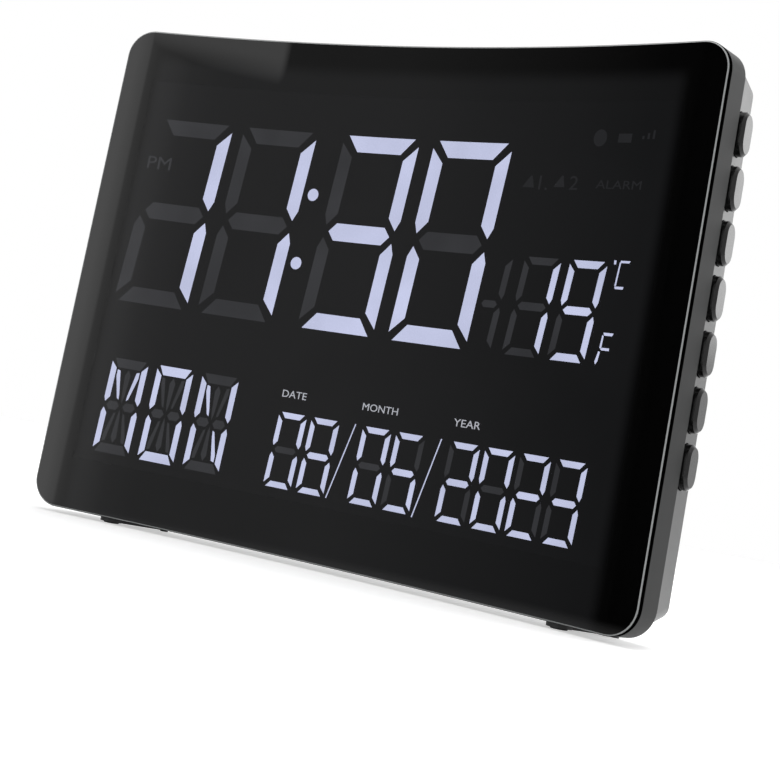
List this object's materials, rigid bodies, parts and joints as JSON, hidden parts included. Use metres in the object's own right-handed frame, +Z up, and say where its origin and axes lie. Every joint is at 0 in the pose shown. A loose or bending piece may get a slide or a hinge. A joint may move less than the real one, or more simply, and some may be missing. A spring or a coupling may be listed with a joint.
{
  "type": "digital desk clock",
  "caption": "Desk day clock with a curved dark screen over lit digits, push buttons down its right side, turning feet, a battery door and a power inlet.",
  "frame": {"origin": "on the table, under the middle of the clock's width and depth", "axes": "+X to the right as seen from the front, along the screen; +Y to the back; +Z up"},
  "size_m": [0.265, 0.0468, 0.2022],
  "materials": {
    "black_acrylic": "polished, dark tint",
    "foam_tape": "matt",
    "dark_grey_plastic": "satin",
    "satin_grey_plastic": "fine satin",
    "printed_film": "satin",
    "white_plastic": "matt",
    "led_plastic": "clear",
    "circuit_board": "solder mask",
    "chip_plastic": "matt",
    "bare_metal": "satin",
    "screw_steel": "zinc plated",
    "black_plastic": "matt",
    "pad_rubber": "matt",
    "cell_metal": "satin",
    "contact_metal": "plated",
    "cone_paper": "paper",
    "wire_plastic": "satin",
    "button_plastic": "gloss",
    "plunger_plastic": "matt"
  },
  "bodies": {
    "case": {"backup_cells": "cell_metal", "battery_contacts": "contact_metal", "battery_springs": "contact_metal", "board_capacitors": "bare_metal", "board_screws": "screw_steel", "button_board": "circuit_board", "button_ribbon": "wire_plastic", "case_screws": "screw_steel", "clock_crystal": "bare_metal", "controller_chip": "chip_plastic", "dc_jack": "chip_plastic", "dc_jack_pin": "contact_metal", "display_board": "circuit_board", "display_film": "printed_film", "driver_chips": "chip_plastic", "front_housing": "dark_grey_plastic", "front_lens": "black_acrylic", "lens_tape": "foam_tape", "light_box": "white_plastic", "rear_cover": "satin_grey_plastic", "segment_leds": "led_plastic", "speaker_cone": "cone_paper", "speaker_frame": "bare_metal", "speaker_gasket": "foam_tape", "speaker_leads": "wire_plastic", "speaker_magnet": "bare_metal", "tact_switches": "chip_plastic", "temperature_sensor": "chip_plastic"},
    "mode_key": {"mode_button": "button_plastic", "mode_plunger": "plunger_plastic"},
    "alarm_key": {"alarm_button": "button_plastic", "alarm_plunger": "plunger_plastic"},
    "up_key": {"up_button": "button_plastic", "up_plunger": "plunger_plastic"},
    "down_key": {"down_button": "button_plastic", "down_plunger": "plunger_plastic"},
    "set_key": {"set_button": "button_plastic", "set_plunger": "plunger_plastic"},
    "dimmer_key": {"dimmer_button": "button_plastic", "dimmer_plunger": "plunger_plastic"},
    "power_key": {"power_button": "button_plastic", "power_plunger": "plunger_plastic"},
    "left_swivel": {"left_foot": "black_plastic", "left_foot_pads": "pad_rubber", "left_foot_washer": "screw_steel", "left_foot_screw": "screw_steel"},
    "right_swivel": {"right_foot": "black_plastic", "right_foot_pads": "pad_rubber", "right_foot_washer": "screw_steel", "right_foot_screw": "screw_steel"},
    "door": {"battery_door": "satin_grey_plastic"}
  },
  "joints": [
    {"name": "mode_press", "type": "slide", "parent": "case", "child": "mode_key", "axis": [-1, 0, 0], "range_m": [0, 0.0008], "stiffness_N_per_m": 1200},
    {"name": "alarm_press", "type": "slide", "parent": "case", "child": "alarm_key", "axis": [-1, 0, 0], "range_m": [0, 0.0008], "stiffness_N_per_m": 1200},
    {"name": "up_press", "type": "slide", "parent": "case", "child": "up_key", "axis": [-1, 0, 0], "range_m": [0, 0.0008], "stiffness_N_per_m": 1200},
    {"name": "down_press", "type": "slide", "parent": "case", "child": "down_key", "axis": [-1, 0, 0], "range_m": [0, 0.0008], "stiffness_N_per_m": 1200},
    {"name": "set_press", "type": "slide", "parent": "case", "child": "set_key", "axis": [-1, 0, 0], "range_m": [0, 0.0008], "stiffness_N_per_m": 1200},
    {"name": "dimmer_press", "type": "slide", "parent": "case", "child": "dimmer_key", "axis": [-1, 0, 0], "range_m": [0, 0.0008], "stiffness_N_per_m": 1200},
    {"name": "power_press", "type": "slide", "parent": "case", "child": "power_key", "axis": [-1, 0, 0], "range_m": [0, 0.0008], "stiffness_N_per_m": 1200},
    {"name": "left_foot_turn", "type": "hinge", "parent": "case", "child": "left_swivel", "pos_m": [-0.09794, -0.00937, 0], "axis": [0, 0, 1], "range_deg": [-7, 83]},
    {"name": "right_foot_turn", "type": "hinge", "parent": "case", "child": "right_swivel", "pos_m": [0.09794, -0.00937, 0], "axis": [0, 0, 1], "range_deg": [-7, 83]},
    {"name": "door_slide", "type": "slide", "parent": "case", "child": "door", "axis": [0, 0, -1], "range_m": [0, 0.03]}
  ]
}
